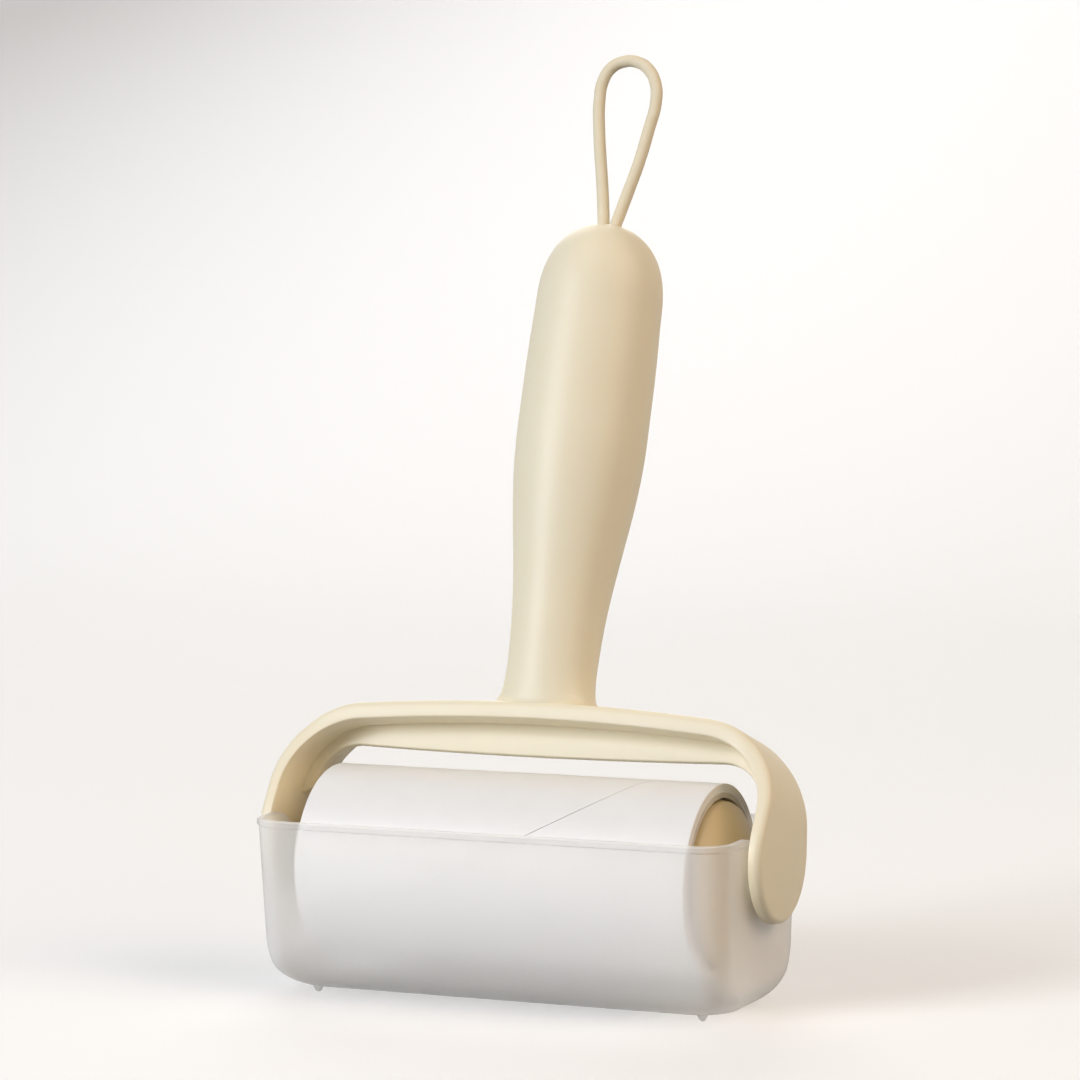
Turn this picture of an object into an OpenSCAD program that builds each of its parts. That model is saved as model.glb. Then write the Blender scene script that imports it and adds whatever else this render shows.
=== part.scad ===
/* [Paper roll] */
// Length of the paper roll
roll_len = 100; // [80:1:160]
// Inner radius of the cardboard core
core_bore_r = 19.6; // [17:0.1:25]
// Wall of the cardboard core
core_wall = 1.3; // [0.8:0.1:2]
// Thickness of the paper wound on the core
paper_t = 2.1; // [1:0.1:6]
// Depth of the slanting cut in the outer sheet
cut_depth = 0.3; // [0.1:0.05:0.6]
// Width of the slanting cut
cut_w = 0.3; // [0.2:0.05:0.8]
// Slant of the cut from the length of the roll
cut_slant = 32; // [20:1:45]

/* [Drum and caps] */
// Radial gap between the drum and the cardboard core
drum_gap = 0.3; // [0.1:0.05:0.6]
// Wall of the drum
drum_wall = 1.8; // [1.2:0.1:3]
// Length of the cap's nose beyond the roll's end
nose_len = 9; // [6:0.5:12]
// Radius of the nose at its tip
nose_r = 4.6; // [4.4:0.1:6]
// Wall of the cap's nose
nose_wall = 1.8; // [1.2:0.1:2.4]
// Length of the cap's plug inside the drum
plug_len = 8; // [5:0.5:14]
// Radial gap of the plug in the drum
plug_gap = 0.05; // [0.02:0.01:0.1]

/* [Arch frame] */
// Radius of the pins that the roller turns on
pin_r = 3; // [2.4:0.1:3.4]
// Radial running clearance of the roller on the pins
pin_gap = 0.08; // [0.04:0.01:0.1]
// Length of the pin inside the cap
pin_len = 11; // [8:0.5:14]
// Radius of the boss between the pin and the arm
boss_r = 4.5; // [4.3:0.1:5.5]
// Length of the boss
boss_len = 2.6; // [2.4:0.1:4]
// End play between the nose and the boss
end_play = 0.3; // [0.1:0.1:0.6]
// Thickness of the strap
strap_t = 3.2; // [2.4:0.1:4.5]
// Half width of the strap at the middle of the crown
crown_half_w = 12.6; // [12.6:0.1:14]
// Radius of the curve that widens the strap towards the arms
waist_r = 630; // [450:10:1200]
// Radius of the crown's shallow arc
crown_r = 470; // [350:10:700]
// Outer radius of the shoulders
shoulder_r = 23.2; // [16:0.2:26]
// Radius of the arm's round end
arm_end_r = 15.4; // [14:0.1:18]
// Height of the round end's centre above the roller's axis
arm_end_rise = 6.5; // [2:0.5:8]
// Angle at which the arm narrows upward on each side
arm_taper = 3.9; // [1:0.1:6]
// Gap between the roll and the rib at the middle
rib_gap = 4; // [3:0.5:8]
// Depth of the rib below the strap at the middle
rib_depth = 9.2; // [6:0.2:12]
// Thickness of the rib
rib_t = 2.6; // [1.8:0.1:4]
// Rise of the rib's lower edge from the middle to the shoulders
rib_rise = 1.3; // [0.8:0.1:2]
// Radius where the rib runs into the arms
rib_corner_r = 9; // [6:0.5:12]
// Radius of the spigot that carries the handle
spigot_r = 8.4; // [6:0.1:8.6]
// Length of the spigot
spigot_len = 12; // [8:0.5:16]
// Angle at which the handle leans back in the cover
lean = 19.3; // [0:0.1:25]

/* [Handle] */
// Length of the handle
handle_len = 121; // [100:1:150]
// Radius of the handle's foot
handle_foot_r = 12.6; // [12:0.1:13]
// Radius of the neck above the foot
handle_neck_r = 11; // [10.9:0.1:12]
// Radius of the belly
handle_belly_r = 15.9; // [14:0.1:18]
// Radius where the dome starts
handle_dome_r = 15.5; // [13:0.1:17]
// Height of the neck above the foot
neck_at = 12; // [10:0.5:16]
// Height where the belly reaches its full radius
belly_at = 68; // [50:1:76]
// Length over which the belly stays full
belly_len = 12; // [4:1:20]
// Height of the dome
dome_h = 23; // [14:0.5:30]
// Wall of the handle
handle_wall = 2.4; // [1.8:0.1:2.5]
// Radius of the hole for the cord
cord_hole_r = 3.3; // [3.2:0.1:4]

/* [Loop] */
// Radius of the cord
cord_r = 1.5; // [1:0.1:1.6]
// Radius of the knot inside the handle
knot_r = 5.2; // [4.6:0.1:6]

/* [Dust cover] */
// Wall of the cover
cover_wall = 1.4; // [1:0.1:1.6]
// Gap between the roll and the cover's floor
floor_gap = 4.2; // [3:0.1:8]
// Gap between the roll and the cover's long walls
side_gap = 0.9; // [0.7:0.1:3]
// Gap between the cover's ends and the arms
arm_gap = 0.8; // [0.6:0.1:0.9]
// Height of the rim above the roller's axis
rim_rise = 12.4; // [9:0.2:14]
// Draft of each long wall over the cover's height
side_draft = 2.5; // [1:0.1:4]
// Draft of each end wall over the cover's height
end_draft = 1; // [0.4:0.1:1.2]
// Radius where the floor turns up into the end walls
floor_end_r = 15; // [10:0.5:17]
// Radius where the floor turns up into the long walls
floor_side_r = 9; // [6:0.5:12]
// Radius of the upright corners
corner_r = 8; // [5:0.5:10]
// How far the lip stands out from the rim
lip_w = 0.4; // [0.2:0.1:0.5]
// Height of the lip
lip_h = 1.4; // [1:0.1:3]
// Gap between the boss and the slot that carries it
slot_gap = 0.3; // [0.2:0.05:0.6]
// Radius of the rounded mouth of the slot
slot_mouth_r = 8; // [5:0.5:9]
// Height of the feet
foot_h = 2; // [1:0.1:4]
// Radius of the feet at the floor
foot_r = 1.5; // [1:0.1:2.5]
// Distance of the feet from the ends of the base
foot_in_x = 10.2; // [9:0.1:14]
// Distance of the feet from the long sides of the base
foot_in_y = 11.8; // [10:0.1:14]

/* [Hidden] */

overlap = 0.5;
facets = 64;

// Along the roller's axis, from the middle out
roll_end = roll_len / 2;
nose_end = roll_end + nose_len;
arm_in = nose_end + end_play + boss_len;
arm_out = arm_in + strap_t;

// Radii of the roller
core_out_r = core_bore_r + core_wall;
roll_r = core_out_r + paper_t;
drum_r = core_bore_r - drum_gap;
drum_in_r = drum_r - drum_wall;
plug_r = drum_in_r - plug_gap;
hub_bore_r = pin_r + pin_gap;
hub_len = pin_len + 2;

// Heights above the roller's axis, square to the leaning frame
rib_low = roll_r + rib_gap;
crown_low = rib_low + rib_depth;
crown_top = crown_low + strap_t;
arm_top = crown_top + overlap;
shoulder_x = arm_out - shoulder_r;
shoulder_z = crown_top - crown_r + sqrt(pow(crown_r - shoulder_r, 2) - pow(shoulder_x, 2));
arm_wide = 2 * (arm_end_r + strap_t);

// Heights along the handle, above its foot
flare_low = 1.5;
flare_high = neck_at - 2;
belly_end = belly_at + belly_len;
dome_at = handle_len - dome_h;
dome_power = 2.8;
handle_steps = 14;

// The cover, measured from its underside
axis_h = cover_wall + floor_gap + roll_r;
cover_h = axis_h + rim_rise;
rim_half_l = arm_in - arm_gap;
rim_half_d = roll_r + side_gap + cover_wall + side_draft * rim_rise / cover_h;
base_half_l = rim_half_l - end_draft;
base_half_d = rim_half_d - side_draft;
slot_r = boss_r + slot_gap;
corner_steps = 8;
floor_steps = 8;

axis_z = foot_h + axis_h;

// Centre line of the loop: across, and above the handle's top
knot_top = -(handle_wall + 0.9);
loop_route = [[-1.6, knot_top], [-1.6, 0], [-2, 3], [-3.2, 10], [-4.7, 17.5], [-6.1, 25],
    [-7.1, 33], [-6.8, 38], [-4.8, 41.6], [-1.2, 43.1], [1.8, 42.8], [5, 40.9],
    [7.4, 37.2], [8.2, 32.5], [7.2, 25], [5.8, 17], [4.1, 10], [2.3, 3], [1.6, 0],
    [1.6, knot_top]];
cord_sides = 8;

// Places its children in the leaning frame, with the roller's axis at its origin
module leaning() {
    translate([0, 0, axis_z]) rotate([-lean, 0, 0]) children();
}

// Turns a shape made around Z so that it lies along X
module along_roller() {
    translate([0, 0, axis_z]) rotate([0, 90, 0]) children();
}

module tube(outer, inner, from, to) {
    translate([0, 0, from]) difference() {
        cylinder(h = to - from, r = outer, $fn = facets);
        translate([0, 0, -overlap])
            cylinder(h = to - from + 2 * overlap, r = inner, $fn = facets);
    }
}

// Front outline of the arch, taken in by some distance from its outside
module arch_outline(inset) {
    half = arm_out - inset;
    low = arm_end_rise - arm_end_r - overlap;
    centre_z = crown_top - crown_r;
    meet = (crown_r + 1) / (crown_r - shoulder_r);
    meet_x = shoulder_x * meet;
    meet_z = centre_z + (shoulder_z - centre_z) * meet;
    translate([-half, low]) square([2 * half, shoulder_z - low]);
    for (side = [-1, 1])
        translate([side * shoulder_x, shoulder_z]) circle(r = shoulder_r - inset, $fn = facets);
    intersection() {
        translate([0, centre_z]) circle(r = crown_r - inset, $fn = 4 * facets);
        polygon([[shoulder_x, shoulder_z], [meet_x, meet_z], [-meet_x, meet_z],
            [-shoulder_x, shoulder_z]]);
    }
}

// Opening below the rib, with its shallow upper edge
module rib_opening() {
    half = arm_in;
    high = rib_low + rib_rise;
    bow_r = pow(shoulder_x + rib_corner_r, 2) / (2 * rib_rise);
    low = arm_end_rise - arm_end_r - 2 * overlap;
    difference() {
        union() {
            translate([-half, low]) square([2 * half, high - rib_corner_r - low]);
            translate([-half + rib_corner_r, low])
                square([2 * (half - rib_corner_r), high - low]);
            for (side = [-1, 1])
                translate([side * (half - rib_corner_r), high - rib_corner_r])
                    circle(r = rib_corner_r, $fn = facets);
        }
        translate([0, rib_low + bow_r]) circle(r = bow_r, $fn = 8 * facets);
    }
}

// Side outline of an arm: a round end that narrows upward
module arm_outline() {
    half = arm_end_r * cos(arm_taper);
    rise = arm_end_rise + arm_end_r * sin(arm_taper);
    top_half = half - (arm_top - rise) * tan(arm_taper);
    translate([0, arm_end_rise]) circle(r = arm_end_r, $fn = facets);
    polygon([[half, rise], [top_half, arm_top], [-top_half, arm_top], [-half, rise]]);
}

// Outline from above: narrowest at the middle of the crown
module crown_outline() {
    difference() {
        square([2 * arm_out + 2, arm_wide], center = true);
        for (side = [-1, 1])
            translate([0, side * (crown_half_w + waist_r)]) circle(r = waist_r, $fn = 8 * facets);
    }
}

module strap() {
    intersection() {
        rotate([90, 0, 0]) linear_extrude(arm_wide, center = true) difference() {
            arch_outline(0);
            arch_outline(strap_t);
        }
        rotate([90, 0, 90]) linear_extrude(2 * arm_out + 2, center = true) arm_outline();
        translate([0, 0, -arm_end_r]) linear_extrude(arm_top + arm_end_r + 1) crown_outline();
    }
}

module rib() {
    rotate([90, 0, 0]) linear_extrude(rib_t, center = true) difference() {
        arch_outline(strap_t - overlap);
        rib_opening();
        translate([-arm_out, -arm_wide]) square([2 * arm_out, arm_wide + shoulder_z]);
    }
}

module arch_frame() {
    color("#f0e2c4") leaning() {
        strap();
        rib();
        translate([0, 0, crown_low]) cylinder(h = strap_t, r = handle_foot_r, $fn = facets);
        translate([0, 0, crown_low]) cylinder(h = strap_t + spigot_len, r = spigot_r, $fn = facets);
        for (side = [0, 1]) mirror([side, 0, 0]) {
            translate([arm_in - boss_len, 0, 0]) rotate([0, 90, 0])
                cylinder(h = boss_len + overlap, r = boss_r, $fn = facets);
            translate([nose_end - pin_len, 0, 0]) rotate([0, 90, 0])
                cylinder(h = arm_in - nose_end + pin_len, r = pin_r, $fn = facets);
        }
    }
}

// Radius of the handle at a height above its foot
function handle_r(h) =
    h < flare_low ? handle_foot_r :
    h < flare_high ? handle_neck_r + (handle_foot_r - handle_neck_r)
        * (1 - sqrt(1 - pow((flare_high - h) / (flare_high - flare_low), 2))) :
    h < neck_at ? handle_neck_r :
    h < belly_at ? handle_neck_r + (handle_belly_r - handle_neck_r)
        * (1 - cos(180 * (h - neck_at) / (belly_at - neck_at))) / 2 :
    h < belly_end ? handle_belly_r :
    h < dome_at ? handle_belly_r - (handle_belly_r - handle_dome_r)
        * (1 - cos(90 * (h - belly_end) / (dome_at - belly_end))) :
    handle_dome_r * sqrt(max(0, 1 - pow((h - dome_at) / dome_h, dome_power)));

// Heights at which the outline has a point, closer together near the top
handle_heights = concat(
    [0], [for (i = [0 : 5]) flare_low + (flare_high - flare_low) * i / 5],
    [for (i = [0 : handle_steps]) neck_at + (belly_at - neck_at) * i / handle_steps],
    [for (i = [0 : 4]) belly_end + (dome_at - belly_end) * i / 4],
    [for (i = [1 : handle_steps]) dome_at + dome_h * (1 - pow(1 - i / handle_steps, 2))]);

// Inside radius: the outside less the wall, and straight in the neck
function cavity_r(h) = (h < neck_at ? handle_neck_r : handle_r(h)) - handle_wall;

cavity_heights = [for (h = handle_heights) if (h >= neck_at && h < dome_at) h];
cavity_dome_h = dome_h - handle_wall;

module handle_cavity() {
    dome_r = handle_dome_r - handle_wall;
    rotate_extrude($fn = facets) polygon(concat(
        [[0, -overlap], [cavity_r(0), -overlap]],
        [for (h = cavity_heights) [cavity_r(h), h]],
        [for (i = [0 : handle_steps]) let (s = 1 - pow(1 - i / handle_steps, 2))
            [dome_r * sqrt(max(0, 1 - pow(s, dome_power))), dome_at + cavity_dome_h * s]]));
}

module handle_grip() {
    color("#f0e2c4") leaning() translate([0, 0, crown_top]) difference() {
        rotate_extrude($fn = facets)
            polygon(concat([[0, 0]], [for (h = handle_heights) [handle_r(h), h]]));
        handle_cavity();
        translate([0, 0, dome_at]) cylinder(h = dome_h + overlap, r = cord_hole_r, $fn = facets);
    }
}

module roller_drum() {
    color("#e6d6b4") along_roller() tube(drum_r, drum_in_r, -roll_end, roll_end);
}

// Half outline of a cap: nose outside the drum, plug and hub inside it
module cap_half() {
    step = 1.2;
    translate([0, 0, roll_end]) rotate_extrude($fn = facets) polygon([
        [hub_bore_r, nose_len], [nose_r, nose_len], [nose_r + step, nose_len - step],
        [drum_r - 2 * step, 2 * step], [drum_r - step / 2, step], [drum_r, 0],
        [plug_r, 0], [plug_r, -plug_len],
        [plug_r - nose_wall, -plug_len], [plug_r - nose_wall, 0],
        [nose_r + nose_wall / 2, nose_len - 2 * nose_wall],
        [nose_r, nose_len - hub_len], [hub_bore_r, nose_len - hub_len]]);
}

module drum_cap_left() {
    color("#eaddc0") along_roller() mirror([0, 0, 1]) cap_half();
}

module drum_cap_right() {
    color("#eaddc0") along_roller() cap_half();
}

module paper_core() {
    color("#b79b72") along_roller() tube(core_out_r, core_bore_r, -roll_end, roll_end);
}

// The wound paper, with the slanting cut at which the outer sheet tears off
module sticky_paper_roll() {
    cut_rise = 5;
    cut_low = -0.45 * roll_r;
    cut_high = 0.9 * roll_r;
    color("#f4f2ee") difference() {
        along_roller() tube(roll_r, core_out_r, -roll_end, roll_end);
        intersection() {
            along_roller() tube(roll_r + overlap, roll_r - cut_depth, -roll_end, roll_end);
            translate([0, 0, axis_z + cut_rise]) rotate([0, -cut_slant, 0])
                cube([2 * roll_len, 2 * roll_r + 2, cut_w], center = true);
            translate([-roll_len, -2 * roll_r, axis_z + cut_low])
                cube([2 * roll_len, 2 * roll_r, cut_high - cut_low]);
        }
    }
}

// Rings of points around a centre line that lies in the XZ plane
function ring_around(line, i) =
    let (a = line[max(i - 1, 0)], b = line[min(i + 1, len(line) - 1)],
        way = (b - a) / norm(b - a))
    [for (k = [0 : cord_sides - 1]) let (turn = 360 * k / cord_sides)
        [line[i][0] + cord_r * cos(turn) * way[1], cord_r * sin(turn),
            line[i][1] - cord_r * cos(turn) * way[0]]];

module hang_loop() {
    last = len(loop_route) - 1;
    n = cord_sides;
    color("#efe1c6") leaning() translate([0, 0, crown_top + handle_len]) polyhedron(
        points = [for (i = [0 : last]) each ring_around(loop_route, i)],
        faces = concat(
            [[for (k = [0 : n - 1]) k]],
            [for (i = [0 : last - 1]) for (k = [0 : n - 1])
                each [[i * n + k, (i + 1) * n + k, (i + 1) * n + (k + 1) % n],
                    [i * n + k, (i + 1) * n + (k + 1) % n, i * n + (k + 1) % n]]],
            [[for (k = [n - 1 : -1 : 0]) last * n + k]]),
        convexity = 6);
}

module cord_knot() {
    sink = 0.68 * knot_r;
    color("#efe1c6") leaning() translate([0, 0, crown_top + handle_len + knot_top])
        intersection() {
            translate([0, 0, -sink]) sphere(r = knot_r, $fn = facets);
            translate([0, 0, -2 * knot_r]) cylinder(h = 2 * knot_r, r = knot_r + 1, $fn = facets);
        }
}

// How far a rounded floor edge stands in from the wall at some height
function floor_inset(h, r) = h >= r ? 0 : r - sqrt(pow(r, 2) - pow(r - max(h, 0), 2));

// Half length, half depth and corner radius of the cover at some height, taken in by a wall
function cover_size(h, wall) = [
    base_half_l + end_draft * h / cover_h - wall - floor_inset(h - wall, floor_end_r - wall),
    base_half_d + side_draft * h / cover_h - wall - floor_inset(h - wall, floor_side_r - wall),
    corner_r - wall];

function cover_ring(h, wall, out) =
    let (size = cover_size(h, wall), r = size[2] + out)
    [for (q = [0 : 3]) for (i = [0 : corner_steps]) let (turn = 90 * (q + i / corner_steps))
        [(q == 0 || q == 3 ? 1 : -1) * (size[0] + out - r) + r * cos(turn),
            (q < 2 ? 1 : -1) * (size[1] + out - r) + r * sin(turn), h]];

// Skin through rings of equal size, closed at both ends
module loft(rings) {
    n = len(rings[0]);
    last = len(rings) - 1;
    polyhedron(points = [for (ring = rings) each ring],
        faces = concat(
            [[for (k = [0 : n - 1]) k]],
            [for (i = [0 : last - 1]) for (k = [0 : n - 1])
                each [[i * n + k, (i + 1) * n + k, (i + 1) * n + (k + 1) % n],
                    [i * n + k, (i + 1) * n + (k + 1) % n, i * n + (k + 1) % n]]],
            [[for (k = [n - 1 : -1 : 0]) last * n + k]]),
        convexity = 4);
}

module cover_outside() {
    lip_low = cover_h - lip_h;
    loft(concat(
        [for (i = [0 : floor_steps]) cover_ring(floor_end_r * pow(i / floor_steps, 2), 0, 0)],
        [cover_ring(lip_low - lip_w, 0, 0), cover_ring(lip_low, 0, lip_w),
            cover_ring(cover_h, 0, lip_w)]));
}

module cover_inside() {
    rise = floor_end_r - cover_wall;
    loft(concat(
        [for (i = [0 : floor_steps])
            cover_ring(cover_wall + rise * pow(i / floor_steps, 2), cover_wall, 0)],
        [cover_ring(cover_h + overlap, cover_wall, 0)]));
}

// Slot that drops over a boss, open at the rim with a rounded mouth
module boss_slot() {
    mouth = slot_r + slot_mouth_r;
    depth = 2 * (cover_wall + arm_gap + end_draft);
    translate([arm_in - depth, 0, axis_h]) rotate([90, 0, 90]) linear_extrude(depth) {
        circle(r = slot_r, $fn = facets);
        translate([-slot_r, 0]) square([2 * slot_r, rim_rise + overlap]);
        difference() {
            translate([-mouth, rim_rise - slot_mouth_r])
                square([2 * mouth, slot_mouth_r + overlap]);
            for (side = [-1, 1])
                translate([side * mouth, rim_rise - slot_mouth_r])
                    circle(r = slot_mouth_r, $fn = facets);
        }
    }
}

module dust_cover() {
    foot_x = base_half_l - foot_in_x;
    foot_y = base_half_d - foot_in_y;
    color("#d9d4cf", 0.5) translate([0, 0, foot_h]) {
        difference() {
            cover_outside();
            cover_inside();
            for (side = [0, 1]) mirror([side, 0, 0]) boss_slot();
        }
        for (side_x = [-1, 1]) for (side_y = [-1, 1])
            translate([side_x * foot_x, side_y * foot_y, -foot_h])
                cylinder(h = foot_h + cover_wall + overlap, r1 = foot_r / 2, r2 = foot_r, $fn = facets);
    }
}

dust_cover();
arch_frame();
handle_grip();
roller_drum();
drum_cap_left();
drum_cap_right();
paper_core();
sticky_paper_roll();
hang_loop();
cord_knot();
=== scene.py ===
import math
import bmesh
import bpy
from mathutils import Matrix, Vector


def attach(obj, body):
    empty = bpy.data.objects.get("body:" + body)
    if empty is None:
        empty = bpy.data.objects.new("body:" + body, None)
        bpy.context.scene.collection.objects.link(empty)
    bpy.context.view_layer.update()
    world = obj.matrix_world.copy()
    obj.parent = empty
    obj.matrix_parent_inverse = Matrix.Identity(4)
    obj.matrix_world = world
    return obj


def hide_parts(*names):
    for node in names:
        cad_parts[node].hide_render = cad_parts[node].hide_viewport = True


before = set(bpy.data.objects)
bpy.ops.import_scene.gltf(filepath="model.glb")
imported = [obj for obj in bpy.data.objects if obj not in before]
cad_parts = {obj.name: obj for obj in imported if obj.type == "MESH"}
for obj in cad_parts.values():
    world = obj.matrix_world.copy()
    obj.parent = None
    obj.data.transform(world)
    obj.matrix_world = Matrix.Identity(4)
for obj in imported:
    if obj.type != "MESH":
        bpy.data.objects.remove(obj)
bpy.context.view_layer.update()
mm = 0.001  # the pieces are measured in mm, the studio in metres
weld = 0.002 * mm  # points nearer than this are merged
near = 0.01  # points less than this many mm apart count as one place
print("frame loaded")


# small helpers for working by hand

def deselectAll():
    if bpy.context.mode != "OBJECT":
        bpy.ops.object.mode_set(mode="OBJECT")
    bpy.ops.object.select_all(action="DESELECT")


def pick(piece):
    deselectAll()
    piece.select_set(True)
    bpy.context.view_layer.objects.active = piece


def edit(piece):
    pick(piece)
    bpy.ops.object.mode_set(mode="EDIT")


def startPiece(name):
    piece = bpy.context.active_object
    piece.name = name
    piece.data.name = name
    return piece


def selectVerts(piece, test):
    bpy.ops.mesh.select_mode(type="VERT")
    bpy.ops.mesh.select_all(action="DESELECT")
    mesh = bmesh.from_edit_mesh(piece.data)
    for vert in mesh.verts:
        vert.select = test(vert.co)
    mesh.select_flush(True)
    bmesh.update_edit_mesh(piece.data)


def selectFaces(piece, test):
    bpy.ops.mesh.select_mode(type="FACE")
    bpy.ops.mesh.select_all(action="DESELECT")
    mesh = bmesh.from_edit_mesh(piece.data)
    for face in mesh.faces:
        face.select = test(face)
    mesh.select_flush(True)
    bmesh.update_edit_mesh(piece.data)


def selectEdges(piece, test):
    bpy.ops.mesh.select_mode(type="EDGE")
    bpy.ops.mesh.select_all(action="DESELECT")
    mesh = bmesh.from_edit_mesh(piece.data)
    for edge in mesh.edges:
        edge.select = test(*edge.verts)
    bmesh.update_edit_mesh(piece.data)


def choose(piece, chosen):
    # verts by number, with the edges and faces between them
    mesh = bmesh.from_edit_mesh(piece.data)
    for vert in mesh.verts:
        vert.select = vert.index in chosen
    mesh.select_flush(True)
    bmesh.update_edit_mesh(piece.data)


def startChain(name, point):
    # one vertex to extrude an outline from
    deselectAll()
    bpy.ops.mesh.primitive_plane_add(size=mm)
    piece = startPiece(name)
    edit(piece)
    bpy.ops.mesh.select_mode(type="VERT")
    bpy.ops.mesh.select_all(action="SELECT")
    bpy.ops.mesh.merge(type="CENTER")
    bpy.ops.transform.translate(value=point)
    return piece


def extrudeChain(points):
    for last, here in zip(points, points[1:]):
        step = [b - a for a, b in zip(last, here)]
        bpy.ops.mesh.extrude_vertices_move(TRANSFORM_OT_translate={"value": step})


def sweep(name, lines):
    # a section whose corners each follow a line of points in mm
    first = [[c * mm for c in line[0]] for line in lines]
    piece = startChain(name, first[0])
    extrudeChain(first)
    bpy.ops.mesh.select_all(action="SELECT")
    if len(lines) > 2:
        bpy.ops.mesh.edge_face_add()
    for i in range(1, len(lines[0])):
        bpy.ops.mesh.extrude_region_move(TRANSFORM_OT_translate={"value": (0, 0, 0)})
        mesh = bmesh.from_edit_mesh(piece.data)
        mesh.verts.index_update()
        ends = {vert.index: vert.co / mm for vert in mesh.verts if vert.select}
        for line in lines:
            last, here = Vector(line[i - 1]), Vector(line[i])
            nearest = min(ends, key=lambda k: (ends[k] - last).length)
            choose(piece, [nearest])
            bpy.ops.transform.translate(value=(here - last) * mm)
        choose(piece, ends)
    return piece


def tidyNormals(piece):
    bpy.ops.mesh.select_all(action="SELECT")
    bpy.ops.mesh.remove_doubles(threshold=weld)
    bpy.ops.mesh.normals_make_consistent(inside=False)
    if bmesh.from_edit_mesh(piece.data).calc_volume(signed=True) < 0:
        bpy.ops.mesh.flip_normals()


def drawOutline(name, points, closed=True):
    piece = startChain(name, points[0])
    extrudeChain(points + points[:1] if closed else points)
    bpy.ops.mesh.select_all(action="SELECT")
    bpy.ops.mesh.remove_doubles(threshold=weld)
    bpy.ops.mesh.select_all(action="SELECT")
    return piece


def makeSlab(name, outline, step):
    # a flat outline, filled and pushed along
    piece = drawOutline(name, outline)
    bpy.ops.mesh.edge_face_add()
    bpy.ops.mesh.extrude_region_move(TRANSFORM_OT_translate={"value": step})
    tidyNormals(piece)
    bpy.ops.object.mode_set(mode="OBJECT")
    return piece


def spinPiece(name, outline, axis, steps=128, closed=True):
    # the outline lies in the XZ plane; an open one starts and ends on the axis
    piece = drawOutline(name, outline, closed)
    bpy.ops.mesh.spin(steps=steps, angle=2 * math.pi, center=(0, 0, 0), axis=axis)
    tidyNormals(piece)
    bpy.ops.object.mode_set(mode="OBJECT")
    return piece


def applyModifier(piece, kind, **settings):
    pick(piece)
    modifier = piece.modifiers.new(kind.title(), kind)
    for key, value in settings.items():
        setattr(modifier, key, value)
    bpy.ops.object.modifier_apply(modifier=modifier.name)


def bevelEdges(piece, width, segments, angle):
    applyModifier(piece, "BEVEL", width=width * mm, segments=segments, limit_method="ANGLE",
                  angle_limit=math.radians(angle), use_clamp_overlap=True)


def joinPieces(pieces):
    deselectAll()
    for piece in pieces:
        piece.select_set(True)
    bpy.context.view_layer.objects.active = pieces[0]
    bpy.ops.object.join()
    return pieces[0]


def place(piece, turn=(0, 0, 0), move=(0, 0, 0)):
    pick(piece)
    piece.rotation_euler = turn
    piece.location = move
    bpy.ops.object.transform_apply(location=True, rotation=True, scale=True)


def smooth(piece, angle=35):
    pick(piece)
    bpy.ops.object.shade_smooth_by_angle(angle=math.radians(angle))


def finishPiece(piece, material, body, nodes):
    piece.data.materials.clear()
    piece.data.materials.append(material)
    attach(piece, body)
    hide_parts(*nodes)


# camera, at the photograph's angle

camera = {
    "azimuth": 24.53,
    "elevation": 5.06,
    "roll": -0.62,
    "distance": 1031.6,
    "lens": 145.9,
    "target": (4.55, 0, 109.4),
}


def makeCamera():
    turn = math.radians(camera["azimuth"])
    rise = math.radians(camera["elevation"])
    roll = math.radians(camera["roll"])
    right = Vector((math.cos(turn), math.sin(turn), 0))
    back = Vector((math.sin(turn) * math.cos(rise), -math.cos(turn) * math.cos(rise),
                   math.sin(rise)))
    up = back.cross(right)
    tiltedRight = right * math.cos(roll) + up * math.sin(roll)
    tiltedUp = up * math.cos(roll) - right * math.sin(roll)
    data = bpy.data.cameras.new("photoCamera")
    data.sensor_fit = "HORIZONTAL"
    data.sensor_width = 36
    data.lens = camera["lens"]
    viewer = bpy.data.objects.new("photoCamera", data)
    bpy.context.scene.collection.objects.link(viewer)
    spot = Vector(camera["target"]) * mm + back * camera["distance"] * mm
    basis = Matrix((tiltedRight, tiltedUp, back)).transposed().to_4x4()
    viewer.matrix_world = Matrix.Translation(spot) @ basis
    bpy.context.scene.camera = viewer


makeCamera()
print("camera set")


# materials

def linear(code):
    channels = []
    for i in (1, 3, 5):
        value = int(code[i:i + 2], 16) / 255
        channels.append(value / 12.92 if value <= 0.04045 else ((value + 0.055) / 1.055) ** 2.4)
    return (*channels, 1)


def addNode(tree, kind, links=None, **settings):
    node = tree.nodes.new(kind)
    for key, value in settings.items():
        if key in node.inputs:
            node.inputs[key].default_value = value
        else:
            setattr(node, key, value)
    for key, source in (links or {}).items():
        tree.links.new(source, node.inputs[key])
    return node


def newMaterial(name):
    material = bpy.data.materials.new(name)
    material.use_nodes = True
    tree = material.node_tree
    shader = tree.nodes["Principled BSDF"]
    return material, tree, shader


def patches(tree, coords, size, low, high):
    # soft colour patches of a real size in mm, between two colours
    noise = addNode(tree, "ShaderNodeTexNoise", {"Vector": coords}, Scale=1 / (size * mm),
                    Detail=3)
    mix = addNode(tree, "ShaderNodeMix", data_type="RGBA")
    mix.inputs["A"].default_value = linear(low)
    mix.inputs["B"].default_value = linear(high)
    tree.links.new(noise.outputs["Fac"], mix.inputs["Factor"])
    return mix.outputs["Result"]


def grain(tree, coords, size, height, strength):
    # moulded or pressed grain: size and height in mm
    noise = addNode(tree, "ShaderNodeTexNoise", {"Vector": coords}, Scale=1 / (size * mm),
                    Detail=2)
    bump = addNode(tree, "ShaderNodeBump", {"Height": noise.outputs["Fac"]},
                   Strength=strength, Distance=height * mm)
    return bump.outputs["Normal"]


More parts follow.
